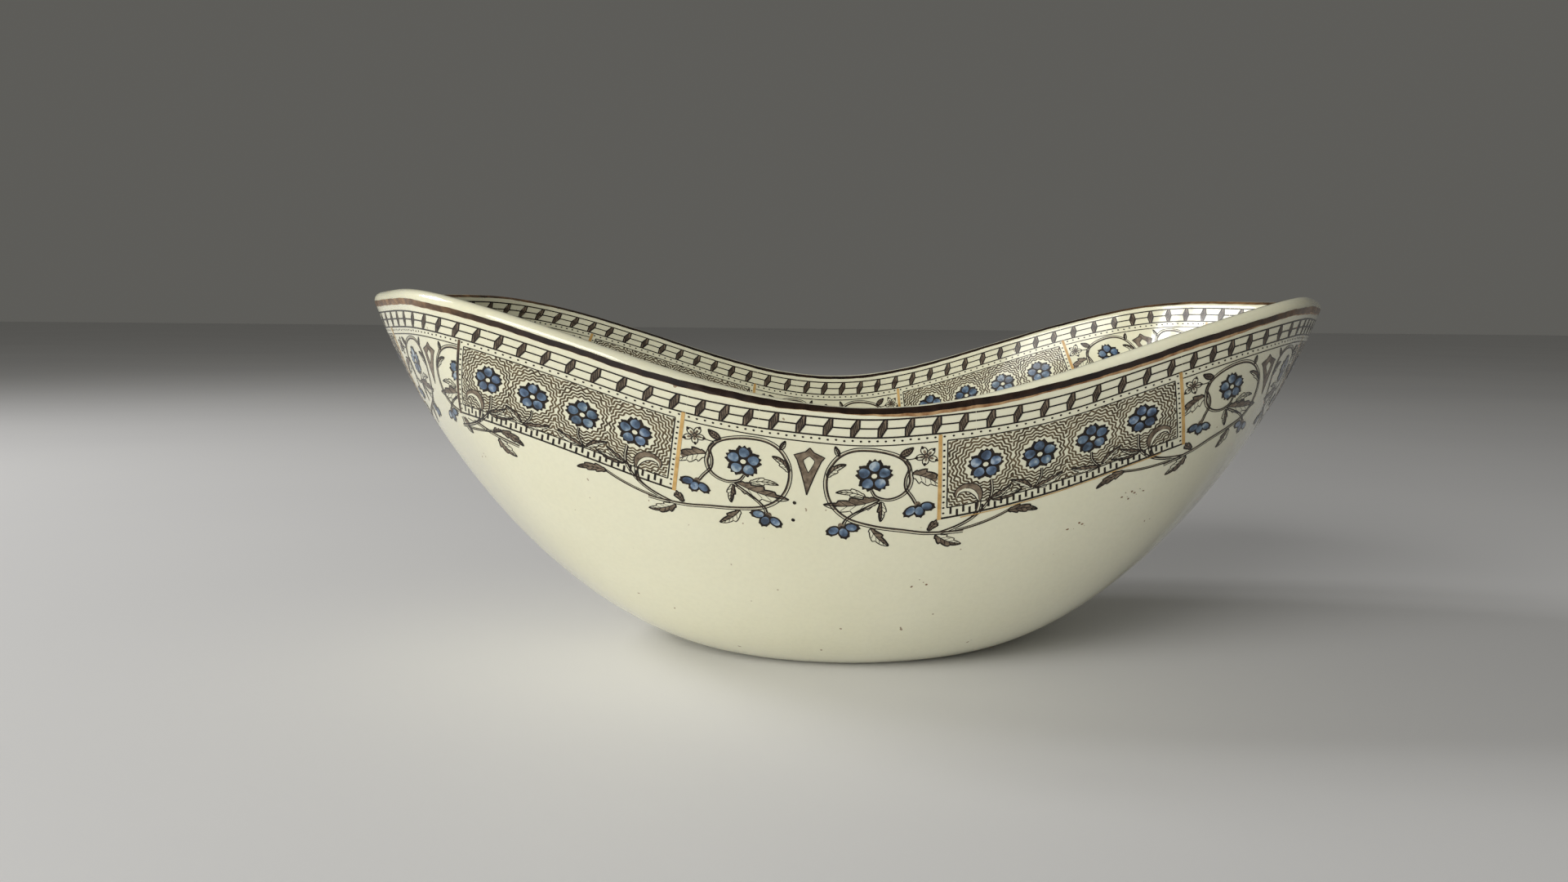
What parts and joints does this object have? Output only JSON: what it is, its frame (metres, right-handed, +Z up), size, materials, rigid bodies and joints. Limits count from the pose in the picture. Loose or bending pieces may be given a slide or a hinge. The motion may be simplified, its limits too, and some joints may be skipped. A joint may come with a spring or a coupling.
{
  "type": "serving bowl",
  "caption": "Oblong porcelain serving bowl with high ends, dipped sides and a printed flower and fretwork border inside and out.",
  "frame": {"origin": "middle of the foot, on the surface the bowl stands on", "axes": "+Z up out of the bowl's mouth, +X along its length, +Y across its width"},
  "size_m": [0.2502, 0.1402, 0.0933],
  "materials": {
    "cream_glaze": "clear glossy lead glaze over a cream body, faint crazing and specks",
    "rim_brown": "hand-painted dark brown line, worn at the ends",
    "printed_transfer": "brown underglaze transfer print with blue painted flowers, under glossy glaze",
    "ochre_enamel": "thin ochre enamel, slightly worn"
  },
  "bodies": {
    "root": {"bowl_body": "cream_glaze", "outer_rim_line": "rim_brown", "outer_scroll_transfers": "printed_transfer", "outer_panel_transfers": "printed_transfer", "outer_ochre_bars": "ochre_enamel", "inner_rim_line": "rim_brown", "inner_scroll_transfers": "printed_transfer", "inner_panel_transfers": "printed_transfer", "inner_ochre_bars": "ochre_enamel"}
  },
  "joints": []
}
